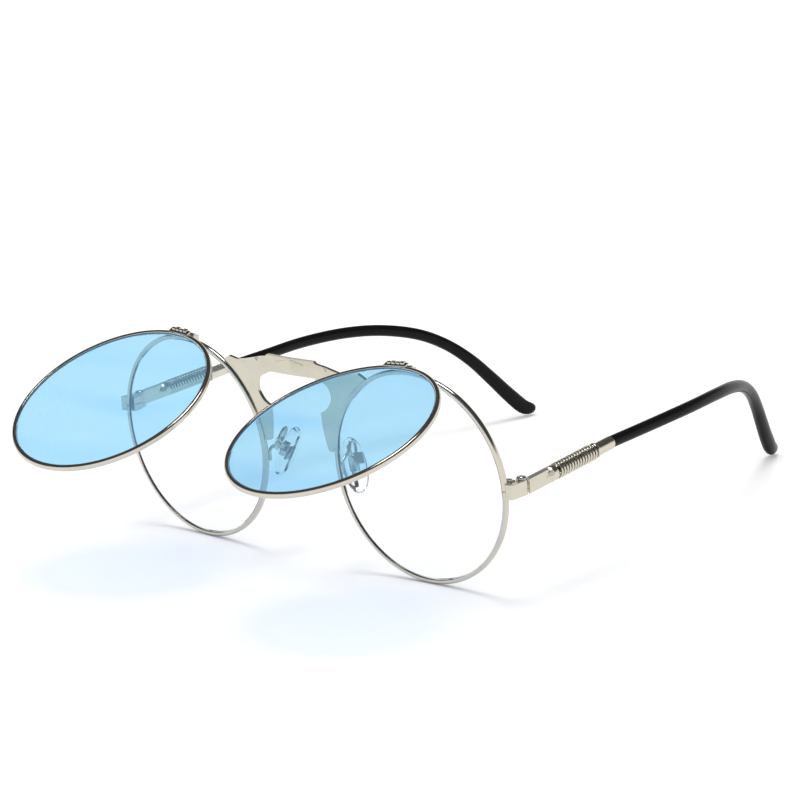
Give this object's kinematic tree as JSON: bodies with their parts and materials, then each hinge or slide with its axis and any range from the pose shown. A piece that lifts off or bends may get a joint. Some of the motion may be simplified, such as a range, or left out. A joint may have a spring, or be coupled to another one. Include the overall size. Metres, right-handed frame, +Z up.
{
  "type": "flip up sunglasses",
  "caption": "Round metal glasses with clear lenses and a second pair of light blue lenses that flip up on small hinges; spring temples with black tips and pads on arms.",
  "frame": {"origin": "on the floor under the middle of the whole object as it stands: Z 0 is the floor that the eyewires and the tips touch", "axes": "+X towards the wearer's left temple, +Y from the front towards the temple tips, +Z up; the front faces -Y"},
  "size_m": [0.133, 0.1836, 0.0546],
  "materials": {
    "silver_wire": "polished, pale warm silver",
    "champagne_plate": "satin, pale champagne plating",
    "screw_steel": "turned, bright",
    "core_steel": "drawn wire",
    "spring_steel": "polished wire",
    "clear_lens": "clear, polished",
    "tinted_lens": "light blue, polished",
    "black_tip": "glossy black",
    "pad_silicone": "clear, smooth silicone",
    "clear_core": "clear"
  },
  "bodies": {
    "front": {"bridge_plate": "champagne_plate", "left_eyewire": "silver_wire", "right_eyewire": "silver_wire", "left_clear_lens": "clear_lens", "right_clear_lens": "clear_lens", "left_end_piece": "champagne_plate", "right_end_piece": "champagne_plate", "left_closing_block_upper": "silver_wire", "right_closing_block_upper": "silver_wire", "left_closing_block_lower": "silver_wire", "right_closing_block_lower": "silver_wire", "left_closing_screw": "screw_steel", "right_closing_screw": "screw_steel", "left_hinge_screw": "screw_steel", "right_hinge_screw": "screw_steel", "left_pad_arm": "silver_wire", "right_pad_arm": "silver_wire", "left_pad_box": "silver_wire", "right_pad_box": "silver_wire", "left_pad_screw": "screw_steel", "right_pad_screw": "screw_steel", "left_flip_base": "silver_wire", "right_flip_base": "silver_wire", "left_flip_pin": "screw_steel", "right_flip_pin": "screw_steel"},
    "left_temple": {"left_temple_bar": "champagne_plate", "left_temple_core": "core_steel", "left_temple_spring": "spring_steel", "left_temple_sleeve": "champagne_plate", "left_temple_tip": "black_tip"},
    "right_temple": {"right_temple_bar": "champagne_plate", "right_temple_core": "core_steel", "right_temple_spring": "spring_steel", "right_temple_sleeve": "champagne_plate", "right_temple_tip": "black_tip"},
    "left_flip_up": {"left_flip_ring": "silver_wire", "left_flip_leaf": "silver_wire", "left_tinted_lens": "tinted_lens"},
    "right_flip_up": {"right_flip_ring": "silver_wire", "right_flip_leaf": "silver_wire", "right_tinted_lens": "tinted_lens"},
    "left_pad": {"left_pad_core": "clear_core", "left_nose_pad": "pad_silicone"},
    "right_pad": {"right_pad_core": "clear_core", "right_nose_pad": "pad_silicone"}
  },
  "joints": [
    {"name": "left_temple_hinge", "type": "hinge", "parent": "front", "child": "left_temple", "pos_m": [0.06328, -0.03392, 0.02616], "axis": [0, 0, 1], "range_deg": [0, 80]},
    {"name": "left_flip_hinge", "type": "hinge", "parent": "front", "child": "left_flip_up", "pos_m": [0.03602, -0.04225, 0.05249], "axis": [-0.9976, -0.0376, -0.0575], "range_deg": [-72.8, 27.2]},
    {"name": "left_pad_pivot", "type": "hinge", "parent": "front", "child": "left_pad", "pos_m": [0.013, -0.03493, 0.02546], "axis": [0.1983, 0.9706, -0.1364], "range_deg": [-10, 10]},
    {"name": "right_temple_hinge", "type": "hinge", "parent": "front", "child": "right_temple", "pos_m": [-0.06328, -0.03392, 0.03026], "axis": [0, 0, -1], "range_deg": [0, 66]},
    {"name": "right_flip_hinge", "type": "hinge", "parent": "front", "child": "right_flip_up", "pos_m": [-0.03602, -0.04225, 0.05249], "axis": [-0.9976, 0.0376, 0.0575], "range_deg": [-67.2, 32.8]},
    {"name": "right_pad_pivot", "type": "hinge", "parent": "front", "child": "right_pad", "pos_m": [-0.013, -0.03493, 0.02546], "axis": [0.1983, -0.9706, 0.1364], "range_deg": [-10, 10]}
  ]
}
